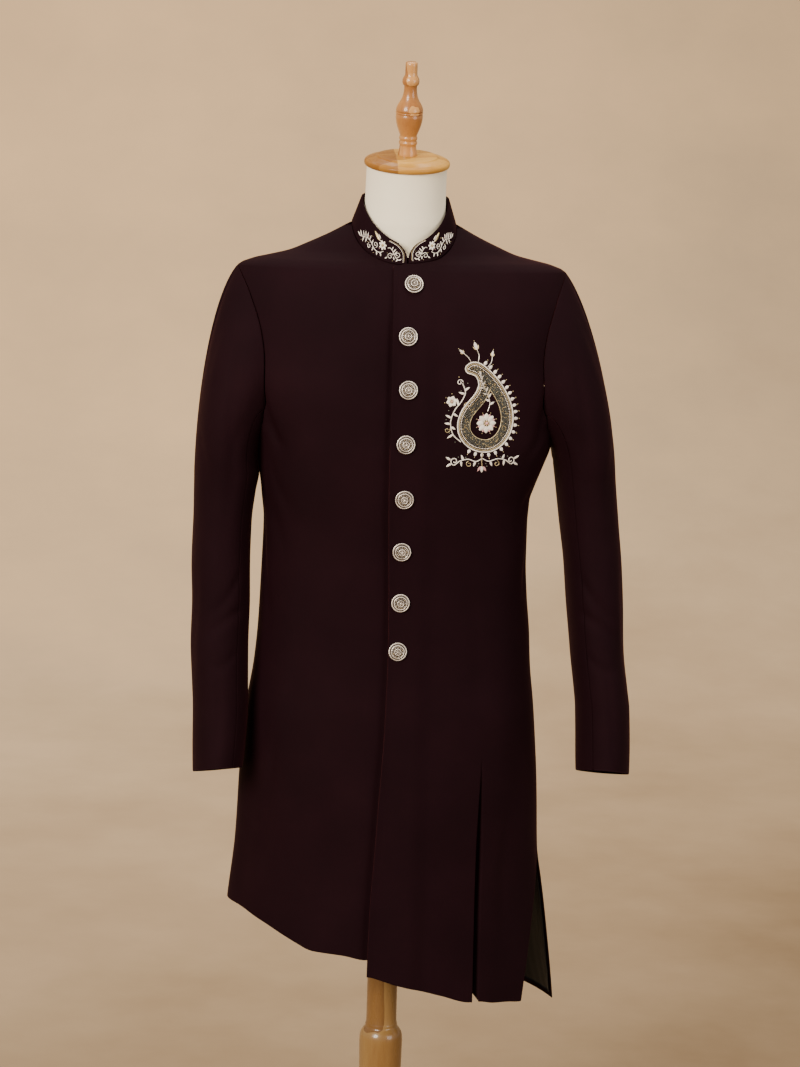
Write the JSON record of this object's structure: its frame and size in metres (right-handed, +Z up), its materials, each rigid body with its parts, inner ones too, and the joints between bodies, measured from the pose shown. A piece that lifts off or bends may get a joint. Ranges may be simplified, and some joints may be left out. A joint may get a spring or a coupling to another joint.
{
  "type": "sherwani coat on a dress form stand",
  "caption": "Long buttoned stand-collar sherwani coat with slanted hem, side vent and two-piece sleeves, worn by a limbless dress form on a wooden stand.",
  "frame": {"origin": "centre of the base plate's underside, on the floor below the pole", "axes": "+Z up along the pole, the coat's front faces -Y, the wearer's left is +X"},
  "size_m": [0.6094, 0.4, 1.7199],
  "materials": {
    "suiting": "very dark maroon smooth suiting, matte with a faint sheen",
    "satin_lining": "dark navy satin lining",
    "silver_metal": "antique silver and pale gold metal, of the corded buttons and the embroidery thread",
    "form_cloth": "off-white cotton cover of the dress form",
    "wood": "honey-coloured turned pine, varnished"
  },
  "bodies": {
    "root": {"front_left": "suiting", "front_right": "suiting", "back_left": "suiting", "back_right": "suiting", "sleeve_left_top": "suiting", "sleeve_left_under": "suiting", "sleeve_right_top": "suiting", "sleeve_right_under": "suiting", "collar": "suiting", "lining_vent": "satin_lining", "button_1": "silver_metal", "button_2": "silver_metal", "button_3": "silver_metal", "button_4": "silver_metal", "button_5": "silver_metal", "button_6": "silver_metal", "button_7": "silver_metal", "button_8": "silver_metal", "dress_form": "form_cloth", "neck_cap": "wood", "finial": "wood", "pole": "wood", "base": "wood"}
  },
  "joints": []
}
